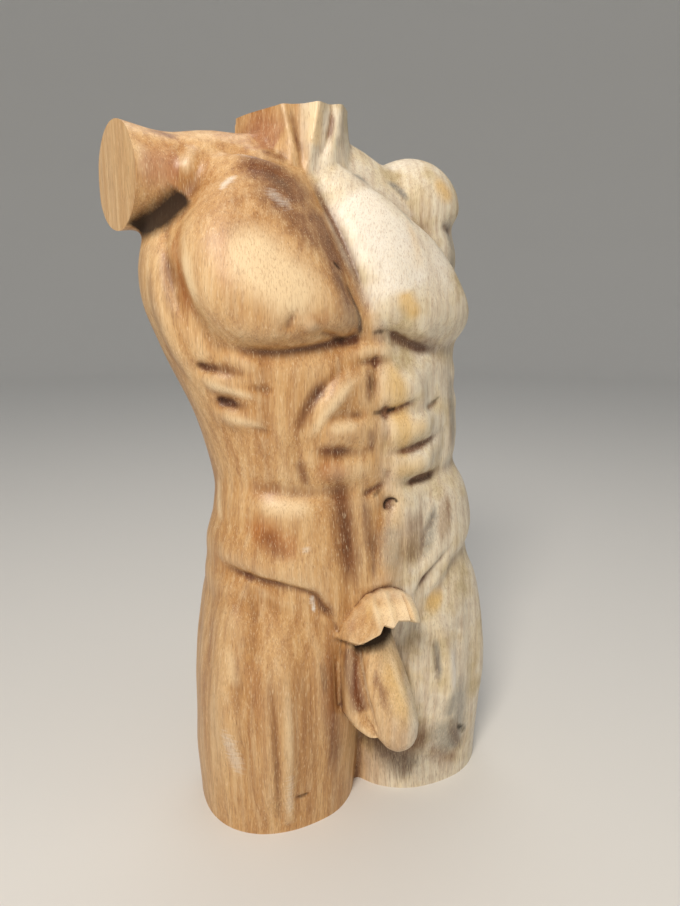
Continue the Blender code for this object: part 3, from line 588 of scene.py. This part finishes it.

# %% Paint the streaks and patches, with painted light and shade
MARKS = [
    # colour, view, places, width, strength, fading
    # the dark band over the chest, and its pale scuffs
    ("umber", FRONT, [(-66, 462), (-50, 452), (-35, 440), (-21, 420)], 24, 1.0),
    ("umber", FRONT, [(-30, 440), (-14, 408), (-4, 378)], 22, 0.9),
    ("umber", FRONT, [(-66, 448), (-48, 434), (-30, 416), (-14, 392)], 20, 0.75),
    ("brown", FRONT, [(-55, 452), (-44, 446), (-32, 434)], 9, 0.5),
    ("white", FRONT, [(-80, 436), (-74, 442), (-66, 447)], 4, 0.55),
    ("white", FRONT, [(-56, 440), (-44, 432), (-34, 424)], 9, 0.3),
    # the breast muscle: a painted highlight in the middle, orange at its outer edge, a dark stain along the
    # breastbone, and painted shade under it and down its outer side
    ("cream", FRONT, [(-66, 398), (-56, 388), (-46, 380)], 32, 1.0, 0),
    ("cream", RIGHT_QUARTER, [(-50, 408), (-48, 385), (-42, 366)], 8, 0.7),
    ("orange", RIGHT_QUARTER, [(-62, 424), (-60, 398), (-52, 370), (-44, 356)], 9, 0.75),
    ("orange", FRONT, [(-40, 362), (-28, 360), (-16, 366)], 12, 0.5),
    ("orange", FRONT, [(-79, 422), (-84, 396), (-82, 367)], 7, 0.5),
    ("umber", FRONT, [(-18, 404), (-10, 384), (-4, 364), (2, 350)], 12, 0.8),
    ("brown", FRONT, [(-5, 385), (2, 366), (7, 349)], 4, 1.0, 0.15),
    ("soot", FRONT, [(-12, 396), (-9, 393)], 2.6, 0.9, 0),
    ("soot", FRONT, [(-16, 347), (-8, 348), (0, 349)], 4, 0.55, 0.4),
    ("soot", FRONT, [(13, 351), (19, 353), (26, 352)], 3, 0.6, 0.3),
    ("umber", RIGHT_QUARTER, [(-82, 400), (-77, 372), (-68, 345)], 9, 0.5),
    ("umber", RIGHT_QUARTER, [(-72, 415), (-68, 380), (-58, 350)], 7, 0.45),
    # the arm stump, with painted highlights along its side, and painted shade in the hollow under it
    ("rose", FRONT, [(-122, 452), (-108, 452), (-96, 452)], 22, 0.9, 0.1),
    ("cream", FRONT, [(-120, 468), (-118, 454), (-116, 442)], 7, 0.7),
    ("cream", FRONT, [(-96, 462), (-93, 450)], 5, 0.35),
    ("umber", FRONT, [(-116, 476), (-104, 474), (-92, 470)], 8, 0.7),
    ("soot", FRONT, [(-124, 418), (-112, 421), (-100, 431), (-93, 438)], 16, 1.0, 0.1),
    # the neck: a pink facet, a cream facet, and painted shade along its grooves and where it meets the chest
    ("rose", FRONT, [(-52, 488), (-42, 480), (-34, 470)], 26, 1.0, 0.1),
    ("umber", FRONT, [(-50, 466), (-36, 463), (-26, 462)], 9, 0.7),
    ("umber", FRONT, [(-62, 458), (-44, 457), (-28, 458)], 5, 0.8),
    ("umber", FRONT, [(-25, 498), (-23, 480), (-19, 462)], 3.5, 0.6),
    ("cream", FRONT, [(-11, 499), (-11, 484), (-12, 470)], 12, 0.9, 0.1),
    ("umber", FRONT, [(3, 498), (2, 484), (-2, 472)], 4.5, 0.9),
    ("umber", FRONT, [(22, 498), (22, 484), (24, 472)], 6, 0.5),
    ("yellow", FRONT, [(-10, 498), (-10, 480), (-12, 466)], 9, 0.6),
    # ribs: painted shade in their creases and painted highlights on the ridges below them
    ("soot", RIGHT_QUARTER, [(-54, 334), (-48, 332), (-38, 331)], 3, 0.4, (0.1, 0.6)),
    ("soot", RIGHT_QUARTER, [(-43, 312), (-38, 310), (-32, 309)], 2.4, 0.35, (0.1, 0.5)),
    ("umber", FRONT, [(-94, 333), (-82, 331), (-66, 328)], 8, 0.55),
    ("umber", FRONT, [(-90, 311), (-78, 309), (-66, 306)], 7, 0.55),
    ("cream", RIGHT_QUARTER, [(-50, 325), (-34, 319), (-14, 313)], 5, 0.6),
    ("cream", RIGHT_QUARTER, [(-38, 302), (-22, 297), (-8, 293)], 5, 0.5),
    # belly: brown on the right, yellow blocks by the middle line, painted highlights on the cushions and
    # along the arch of the ribs, and painted shade below that arch, in the creases, in the navel and on the
    # far side
    ("umber", FRONT, [(-16, 328), (-28, 314), (-36, 298), (-41, 282)], 8, 0.7),
    ("cream", FRONT, [(8, 327), (-6, 319), (-20, 302), (-35, 280)], 7, 0.6),
    ("umber", FRONT, [(-30, 280), (-14, 276), (2, 277)], 9, 0.75),
    ("orange", FRONT, [(-28, 268), (-12, 262), (0, 262)], 14, 0.8),
    ("umber", FRONT, [(-36, 276), (-34, 262), (-28, 250)], 7, 0.7),
    ("umber", FRONT, [(13, 336), (11, 318), (11, 302)], 6, 0.7),
    ("brown", FRONT, [(12, 328), (12, 312)], 3.5, 0.45),
    ("umber", FRONT, [(10, 294), (12, 282), (14, 270)], 6, 0.75),
    ("cream", FRONT, [(-22, 292), (-8, 293), (4, 293)], 8, 0.6),
    ("soot", FRONT, [(12, 300), (18, 300), (24, 300)], 2.2, 0.7, 0.3),
    ("soot", FRONT, [(27, 300), (32, 301)], 2.0, 0.8, 0),
    ("soot", FRONT, [(64, 302), (73, 304), (80, 308)], 2.2, 0.4),
    ("soot", FRONT, [(12, 240), (20, 244), (27, 248)], 3.2, 0.55, 0.4),
    ("soot", FRONT, [(36, 246), (52, 247), (68, 248)], 2.6, 0.4, 0.4),
    ("soot", FRONT, [(26, 231), (28, 236), (32, 238), (36, 235)], 1.8, 0.9, 0.1),
    ("yellow", FRONT, [(25, 344), (34, 308), (40, 272), (40, 256)], 15, 0.9),
    ("yellow", FRONT, [(26, 285), (44, 287), (62, 288)], 12, 0.6),
    ("yellow", FRONT, [(26, 258), (44, 259), (62, 260)], 12, 0.6),
    ("grey", LEFT_QUARTER, [(50, 330), (50, 290), (52, 255)], 12, 0.6),
    ("umber", LEFT_QUARTER, [(46, 318), (46, 280), (48, 258)], 8, 0.5),
    # waist and low belly: painted highlights on the hip, brown streaks down the low belly that are partly
    # stain and partly painted shade, and painted shade over its left side
    ("cream", FRONT, [(-80, 262), (-80, 240), (-80, 222)], 7, 0.7),
    ("rose", FRONT, [(-70, 256), (-56, 250), (-44, 244)], 14, 0.35),
    ("cream", FRONT, [(-66, 243), (-44, 240), (-24, 239)], 12, 0.6),
    ("orange", FRONT, [(-72, 232), (-58, 222), (-46, 210), (-38, 200)], 17, 0.8),
    ("umber", FRONT, [(-62, 228), (-54, 214), (-46, 202)], 13, 0.5),
    ("brown", FRONT, [(-14, 268), (-8, 240), (-5, 210), (-4, 178)], 7, 0.36, 0.4),
    ("umber", FRONT, [(-16, 274), (-8, 240), (-4, 205), (-2, 168)], 15, 0.9, 0.3),
    ("umber", FRONT, [(4, 268), (10, 230), (13, 195), (12, 176)], 9, 0.7, 0.4),
    ("umber", FRONT, [(-33, 190), (-25, 172), (-12, 158)], 9, 0.6),
    ("umber", FRONT, [(-44, 184), (-30, 180), (-24, 172)], 6, 0.5),
    ("white", FRONT, [(-39, 210), (-30, 212)], 3, 0.6),
    ("white", FRONT, [(-31, 176), (-29, 167)], 1.8, 1.0, 0),
    ("grey", FRONT, [(26, 228), (27, 205), (25, 182)], 16, 0.5),
    ("umber", FRONT, [(52, 236), (48, 208), (42, 180)], 20, 0.6),
    ("grey", FRONT, [(72, 236), (63, 206), (54, 186)], 9, 0.7),
    ("umber", FRONT, [(84, 240), (78, 215), (70, 195)], 12, 0.6),
    # right thigh: long stained lines, painted highlights on its ridges and outer side, and painted shade on
    # its inner side and in a crease near the cut
    ("umber", FRONT, [(-38, 160), (-37, 105), (-33, 56), (-34, 6)], 10, 0.35, 0.4),
    ("umber", FRONT, [(-19, 155), (-18, 99), (-12, 52), (-12, 10)], 15, 0.5, 0.3),
    ("orange", FRONT, [(-20, 160), (-20, 110), (-14, 60)], 12, 0.6),
    ("umber", FRONT, [(-60, 160), (-62, 110), (-60, 60), (-57, 10)], 6, 0.45, 0.3),
    ("umber", FRONT, [(-79, 165), (-81, 107), (-78, 40)], 8, 0.25),
    ("rose", FRONT, [(-70, 150), (-70, 110), (-68, 80)], 14, 0.3),
    ("cream", FRONT, [(-52, 140), (-51, 90), (-50, 40)], 7, 0.4),
    ("cream", FRONT, [(-84, 150), (-82, 110)], 7, 0.5),
    ("brown", FRONT, [(-25, 135), (-24, 118), (-23, 100)], 5, 0.4),
    ("soot", FRONT, [(-46, 28), (-40, 27), (-33, 28)], 1.6, 0.8, 0.3),
    ("white", FRONT, [(-91, 91), (-86, 68), (-80, 40)], 10, 0.35),
    ("white", FRONT, [(-50, 60), (-50, 30), (-50, 8)], 6, 0.3),
    # tuft, pouch and shaft: a painted highlight on top of the tuft and on the shaft's lit side, a painted
    # shadow under the tuft's lip, and painted shade on the shaft's other side
    ("yellow", FRONT, [(2, 168), (16, 170), (34, 168)], 16, 0.4, 0.05),
    ("cream", FRONT, [(4, 166), (16, 170), (34, 169)], 14, 0.9, 0.1),
    ("rose", FRONT, [(-10, 154), (-3, 160)], 8, 0.6),
    ("soot", FRONT, [(-4, 141), (5, 143), (15, 145), (24, 147), (34, 149)], 13, 1.0, 0.05),
    ("umber", FRONT, [(-5, 140), (-5, 115), (-1, 90)], 12, 1.0, 0.1),
    ("orange", FRONT, [(-4, 132), (-3, 110), (2, 92)], 9, 0.7),
    ("umber", FRONT, [(7, 128), (10, 108), (14, 90)], 7, 0.5),
    ("cream", FRONT, [(20, 140), (23, 115), (26, 98)], 5, 0.6),
    ("yellow", FRONT, [(16, 138), (20, 110), (26, 78)], 14, 0.6),
    ("cream", FRONT, [(0, 138), (1, 117), (3, 99), (7, 81)], 1.6, 0.8, 0.05),
    ("soot", FRONT, [(-11, 148), (-10, 130)], 2.5, 0.6, 0.1),
    # left thigh: a painted shadow under the shaft and pouch, painted shade low down, yellow and ivory wood,
    # and grey that is partly greyed wood and partly painted shade
    ("brown", FRONT, [(22, 52), (34, 34), (56, 12)], 20, 0.7, 0.1),
    ("umber", FRONT, [(24, 62), (44, 48), (70, 30)], 30, 0.9),
    ("umber", FRONT, [(34, 140), (40, 105), (44, 70)], 14, 0.5),
    ("soot", FRONT, [(20, 60), (28, 62), (40, 60)], 12, 0.8),
    ("soot", FRONT, [(88, 50), (96, 43), (105, 35)], 4.0, 0.9),
    ("brown", FRONT, [(76, 66), (88, 42), (103, 16)], 10, 0.7),
    ("yellow", FRONT, [(60, 162), (76, 150)], 16, 0.8),
    ("ivory", FRONT, [(80, 125), (82, 98), (82, 76)], 9, 0.9),
    ("grey", FRONT, [(66, 135), (68, 110), (70, 88)], 5, 0.8),
    ("grey", FRONT, [(88, 100), (92, 60), (96, 20)], 20, 0.7),
    ("grey", FRONT, [(66, 66), (80, 42), (96, 20)], 22, 0.8),
    ("umber", FRONT, [(60, 40), (80, 24), (98, 8)], 16, 0.6),
    ("grey", FRONT, [(80, 86), (80, 70), (80, 56)], 12, 0.8),
    # left chest and shoulder: ivory sapwood with pale scuffs, yellow and grey streaks, and painted shade down
    # the far side and under the breast muscle
    ("ivory", FRONT, [(12, 446), (28, 410), (40, 376)], 40, 1.0, 0.1),
    ("ivory", FRONT, [(60, 440), (72, 405), (74, 370)], 24, 0.6),
    ("white", FRONT, [(6, 446), (18, 405), (33, 372)], 20, 0.35),
    ("yellow", FRONT, [(30, 383), (41, 368), (52, 366)], 12, 0.9),
    ("yellow", FRONT, [(46, 430), (50, 405), (52, 385)], 6, 0.6),
    ("yellow", FRONT, [(82, 458), (94, 452), (100, 440)], 14, 0.8),
    ("grey", FRONT, [(11, 449), (22, 455), (34, 450)], 5, 0.8),
    ("grey", FRONT, [(46, 455), (56, 452), (66, 440)], 5, 0.9),
    ("grey", FRONT, [(40, 437), (48, 430), (54, 420)], 4, 0.7),
    ("grey", FRONT, [(20, 424), (34, 420), (48, 416)], 2.5, 0.35),
    ("grey", FRONT, [(20, 404), (34, 399), (50, 396)], 2.5, 0.35),
    ("grey", LEFT_QUARTER, [(66, 448), (70, 420), (70, 390), (66, 350)], 12, 0.8),
    ("umber", FRONT, [(40, 352), (60, 346), (80, 344)], 10, 0.5),
    ("yellow", FRONT, [(38, 412), (44, 398), (46, 386)], 8, 0.5),
]
for mark in MARKS:
    skin.paint(*mark)

# %% Keep the values on the mesh
for name, values in skin.layers.items():
    torso.data.attributes.new(name, "FLOAT", "POINT").data.foreach_set("value", values)

# %% [markdown]
# ## Sawing the ends
# Carving needs more triangles than the picture does, so the skin is thinned out first. Then the spare length
# goes, and each cut is closed with one flat face, which leaves a crisp rim.

# %% Thin out, saw and close
TRIANGLES = 192000
CRISP_ANGLE = 45.0
torso.data.calc_loop_triangles()
apply_modifier(torso, "DECIMATE", ratio=min(1.0, TRIANGLES / len(torso.data.loop_triangles)))
for point, facing in SAW_CUTS.values():
    work_on(torso)
    bpy.ops.object.mode_set(mode="EDIT")
    bpy.ops.mesh.select_all(action="SELECT")
    bpy.ops.mesh.bisect(plane_co=point, plane_no=facing, use_fill=True, clear_outer=True,
                        threshold=0.001 * MM)
    bpy.ops.object.mode_set(mode="OBJECT")
torso.data.calc_loop_triangles()
print("The carved torso has", len(torso.data.loop_triangles), "triangles")
work_on(torso)
bpy.ops.object.shade_smooth_by_angle(angle=math.radians(CRISP_ANGLE))

# %% [markdown]
# ## The wood
# It is a light tropical hardwood, carved, sanded and waxed. That gives a satin surface with soft highlights,
# long vertical fibres, brown bands in the heartwood and a cream sapwood that has greyed a little.

# %% Node helper and colours


def srgb(code):
    """A colour for a node from its sRGB hex code."""
    channels = [int(code[i:i + 2], 16) / 255 for i in (1, 3, 5)]
    return tuple(c / 12.92 if c <= 0.04045 else ((c + 0.055) / 1.055) ** 2.4 for c in channels) + (1.0,)


def add_node(tree, kind, inputs=None, **settings):
    """Adds one node. An input is a plain value or another node's output."""
    node = tree.nodes.new("ShaderNode" + kind)
    for name, value in settings.items():
        setattr(node, name, value)
    for name, value in (inputs or {}).items():
        if isinstance(value, bpy.types.NodeSocket):
            tree.links.new(value, node.inputs[name])
        else:
            node.inputs[name].default_value = value
    return node


# %% The grain of the log
PITH = (-66 * MM, 30 * MM, 0.0)  # the middle of the log, around which the growth rings run
RING_SPACING = 7 * MM
RING_PERIOD = 0.314  # of the wave texture at scale 1, in metres
RING_STRETCH = 0.03  # the rings hardly change along the log
WANDERS, WANDER_REACH = 9.0, 10 * MM  # how often the grain wanders in a metre, and how far
GRAINS = {
    # width, scale along the log and across it, detail, roughness. A scale of 0.05 makes it 20 times as long
    "bands": (22 * MM, 0.14, 1.0, 4.0, 0.6),
    "lines": (4 * MM, 0.04, 1.0, 3.0, 0.6),
    "fibres": (1 * MM, 0.05, 1.0, 3.0, 0.65),
    # a real pore is about 0.2 mm wide, too fine to show in the render, so it is drawn three times as wide
    "pores": (0.6 * MM, 0.11, 1.0, 1.0, 0.5),
    "patches": (26 * MM, 1.0, 1.0, 4.0, 0.55),
    "specks": (1.8 * MM, 0.8, 1.0, 2.0, 0.6),
    # scratches of a rasp, which run across the grain
    "rasps": (1.2 * MM, 1.0, 0.14, 3.0, 0.6),
}

wood = bpy.data.materials.new("waxed_tropical_hardwood")
wood.use_nodes = True
tree = wood.node_tree
shader = tree.nodes["Principled BSDF"]
kept = {name: add_node(tree, "Attribute", attribute_name=name).outputs["Fac"] for name in skin.layers}

spot = add_node(tree, "TexCoord").outputs["Object"]
wander = add_node(tree, "TexNoise", {"Vector": spot, "Scale": WANDERS, "Detail": 2.0}).outputs["Color"]
wander = add_node(tree, "VectorMath", {0: wander, 1: (0.5, 0.5, 0.5)}, operation="SUBTRACT").outputs[0]
wander = add_node(tree, "VectorMath", {0: wander, "Scale": WANDER_REACH}, operation="SCALE").outputs[0]
spot = add_node(tree, "VectorMath", {0: spot, 1: wander}, operation="ADD").outputs[0]

around_pith = add_node(tree, "Mapping", {
    "Vector": spot, "Location": tuple(-p for p in PITH), "Scale": (1, 1, RING_STRETCH),
}).outputs[0]
texture = {"rings": add_node(tree, "TexWave", {
    "Vector": around_pith, "Scale": RING_PERIOD / RING_SPACING, "Distortion": 3.0, "Detail": 3.0,
    "Detail Scale": 0.7,
}, wave_type="RINGS", rings_direction="Z").outputs["Fac"]}
for name, (width, along, across, detail, roughness) in GRAINS.items():
    drawn = add_node(tree, "Mapping", {"Vector": spot, "Scale": (across, across, along)}).outputs[0]
    texture[name] = add_node(tree, "TexNoise", {
        "Vector": drawn, "Scale": 1 / width, "Detail": detail, "Roughness": roughness,
    }).outputs["Fac"]

# %% Heartwood and sapwood
WOOD_TONES = [
    # texture, then its values with their colours: the heartwood, then the sapwood
    ("bands", [(0.30, "#b3824c"), (0.42, "#c3935b"), (0.54, "#cfa36c"), (0.70, "#dbb582")]),
    ("patches", [(0.34, "#c9b78f"), (0.45, "#dccdae"), (0.55, "#e6dcc6"), (0.68, "#d5c8b2")]),
]
tones = []
for name, stops in WOOD_TONES:
    ramp = add_node(tree, "ValToRGB", {"Fac": texture[name]})
    elements = ramp.color_ramp.elements
    while len(elements) < len(stops):
        elements.new(0.5)
    for element, (position, code) in zip(elements, stops):
        element.position = position
        element.color = srgb(code)
    tones.append(ramp.outputs[0])

# the border between the two follows the grain
border = kept["sapwood"]
for name, share in [("bands", 1.6), ("lines", 0.6)]:
    parts = {0: texture[name], 1: share, 2: border}
    border = add_node(tree, "Math", parts, operation="MULTIPLY_ADD").outputs[0]
border = add_node(tree, "MapRange", {"Value": border, "From Min": 0.75, "From Max": 1.9}).outputs[0]
colour = add_node(tree, "Mix", {0: border, 6: tones[0], 7: tones[1]}, data_type="RGBA").outputs[2]

# %% Lay the colours over the wood
BROKEN_BY = {
    # the border of each painted colour is broken up by a texture of the wood, and this much
    "yellow": ("patches", 0.45), "cream": ("lines", 0.45), "rose": ("bands", 0.45), "orange": ("lines", 0.45),
    "umber": ("lines", 0.45), "grey": ("specks", 0.45), "ivory": ("patches", 0.45), "white": ("rasps", 0.6),
    "brown": ("fibres", 0.45), "soot": ("specks", 0.3),
}
COATS = [
    # What it follows, from which value to which, how much shows at each, colour, blend. A texture is 0.5 on
    # average, so a painted colour starts 0.1 above half the amount it is broken by, and is full 0.7 later.
    ("rings", 0.50, 1.00, 0.0, 0.16, "#a8743f", "MULTIPLY"),
    ("lines", 0.48, 0.70, 0.0, 0.26, "#a9713e", "MULTIPLY"),
    ("lines", 0.34, 0.50, 0.20, 0.0, "#f4dfb8", "MIX"),
    ("yellow", 0.325, 1.025, 0.0, 0.75, "#dfb466", "MIX"),
    # painted highlights, with some cream wood
    ("cream", 0.325, 1.025, 0.0, 0.80, "#f3d9ae", "MIX"),
    ("rose", 0.325, 1.025, 0.0, 0.70, "#ab7452", "MIX"),
    ("orange", 0.325, 1.025, 0.0, 0.75, "#ad6a2f", "MIX"),
    # umber: a real stain in places, painted shade elsewhere
    ("umber", 0.325, 1.025, 0.0, 0.85, "#8f6238", "MULTIPLY"),
    # greyed wood, and painted shade
    ("grey", 0.325, 1.025, 0.0, 0.80, "#8d8a82", "MIX"),
    ("ivory", 0.325, 1.025, 0.0, 0.80, "#f3ecdf", "MIX"),
    ("white", 0.40, 1.10, 0.0, 1.00, "#efeae0", "MIX"),
    # brown stain, and painted shadow
    ("brown", 0.325, 1.025, 0.0, 0.90, "#54331a", "MIX"),
    ("fibres", 0.50, 0.72, 0.0, 0.40, "#9a6a3e", "MULTIPLY"),
    ("ridge", 0.0, 1.0, 0.0, 0.35, "#f6e2bc", "MIX"),
    # painted shade in the grooves, with some old wax
    ("groove", 0.0, 1.0, 0.0, 0.90, "#7a4c27", "MULTIPLY"),
    ("pores", 0.60, 0.74, 0.0, 0.36, "#86643f", "MULTIPLY"),
    ("pores", 0.28, 0.40, 0.35, 0.0, "#f5dfba", "MIX"),
    # painted shade: near black in hollows, creases and under overhangs, where shadow falls
    ("soot", 0.25, 0.95, 0.0, 0.95, "#22140a", "MIX"),
]
followed = {**kept, **texture}
for name, (breaker, amount) in BROKEN_BY.items():
    parts = {0: texture[breaker], 1: amount, 2: kept[name]}
    followed[name] = add_node(tree, "Math", parts, operation="MULTIPLY_ADD").outputs[0]
for name, low, high, least, most, code, blend in COATS:
    share = add_node(tree, "MapRange", {
        "Value": followed[name], "From Min": low, "From Max": high, "To Min": least, "To Max": most,
    }).outputs[0]
    coat = {0: share, 6: colour, 7: srgb(code)}
    colour = add_node(tree, "Mix", coat, data_type="RGBA", blend_type=blend).outputs[2]

# %% Wax and the feel of the grain
RELIEF_DEPTH = 0.3 * MM
# the bands take the wax a little differently, and the painted shade is dull
wax = add_node(tree, "MapRange", {
    "Value": texture["bands"], "From Min": 0.3, "From Max": 0.7, "To Min": 0.38, "To Max": 0.50,
}).outputs[0]
gloss = add_node(tree, "Math", {0: wax, 1: kept["soot"]}, operation="ADD").outputs[0]
rasped = add_node(tree, "Math", {0: texture["rasps"], 1: kept["white"]}, operation="MULTIPLY").outputs[0]
relief = texture["fibres"]
for height, share in [(texture["rings"], 0.2), (texture["pores"], -0.5), (rasped, 1.2)]:
    parts = {0: height, 1: share, 2: relief}
    relief = add_node(tree, "Math", parts, operation="MULTIPLY_ADD").outputs[0]
bump = add_node(tree, "Bump", {"Strength": 0.4, "Distance": RELIEF_DEPTH, "Height": relief})
tree.links.new(colour, shader.inputs["Base Color"])
tree.links.new(gloss, shader.inputs["Roughness"])
tree.links.new(bump.outputs[0], shader.inputs["Normal"])
shader.inputs["IOR"].default_value = 1.5
torso.data.materials.clear()
torso.data.materials.append(wood)

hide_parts("torso")
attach(torso, "root")

# %% [markdown]
# ## Floor and light
# A plain pale floor curves up far away on every side, so there is no horizon line and the sky lights the
# torso from above. A soft lamp stands up and to the camera's left, and weak ones fill from the right and
# behind.

# %% Floor
FLOOR_RADIUS = 3.4
FLOOR_STEPS = [  # how much each step outward widens the floor, and lifts it
    (1.05, 0.02), (1.06, 0.07), (1.07, 0.14), (1.07, 0.24),
    (1.06, 0.35), (1.04, 0.5), (1.02, 0.6), (1.0, 1.6),
]
bpy.ops.object.select_all(action="DESELECT")
bpy.ops.mesh.primitive_circle_add(vertices=96, radius=FLOOR_RADIUS, fill_type="NGON")
floor = bpy.context.object
floor.name = "floor"
bpy.ops.object.mode_set(mode="EDIT")
bpy.ops.mesh.select_all(action="SELECT")
for widen, lift in FLOOR_STEPS:
    bpy.ops.mesh.extrude_region_move(TRANSFORM_OT_translate={"value": (0, 0, lift)})
    bpy.ops.transform.resize(value=(widen, widen, 1))
bpy.ops.mesh.delete(type="ONLY_FACE")
bpy.ops.object.mode_set(mode="OBJECT")
print("The floor has", len(floor.data.polygons), "faces")
bpy.ops.object.shade_smooth()
paper = bpy.data.materials.new("matt_pale_paper")
paper.use_nodes = True
paper.node_tree.nodes["Principled BSDF"].inputs["Base Color"].default_value = srgb("#e0deda")
paper.node_tree.nodes["Principled BSDF"].inputs["Roughness"].default_value = 0.9
floor.data.materials.append(paper)

# %% Lamps and sky
LAMPS_AIM = Vector((0, 0, 0.30))
LAMPS = [
    # place, size, power, colour
    ((-0.72, -0.88, 1.25), 0.45, 19.0, "#fff6ea"),
    ((1.3, -1.0, 0.9), 0.9, 1.5, "#fff8ee"),
    ((0.3, 0.6, 1.8), 0.7, 3.5, "#fffaf4"),
]
for place, size, power, code in LAMPS:
    turn = (LAMPS_AIM - Vector(place)).to_track_quat("-Z", "Y").to_euler()
    bpy.ops.object.light_add(type="AREA", location=place, rotation=turn)
    lamp = bpy.context.object
    lamp.data.shape = "DISK"
    lamp.data.size = size
    lamp.data.energy = power
    lamp.data.color = srgb(code)[:3]
    lamp.visible_camera = False

world = bpy.data.worlds.new("pale_sky")
world.use_nodes = True
world.node_tree.nodes["Background"].inputs["Color"].default_value = srgb("#eef0f2")
world.node_tree.nodes["Background"].inputs["Strength"].default_value = 0.45
bpy.context.scene.world = world
bpy.context.scene.view_settings.view_transform = "Standard"
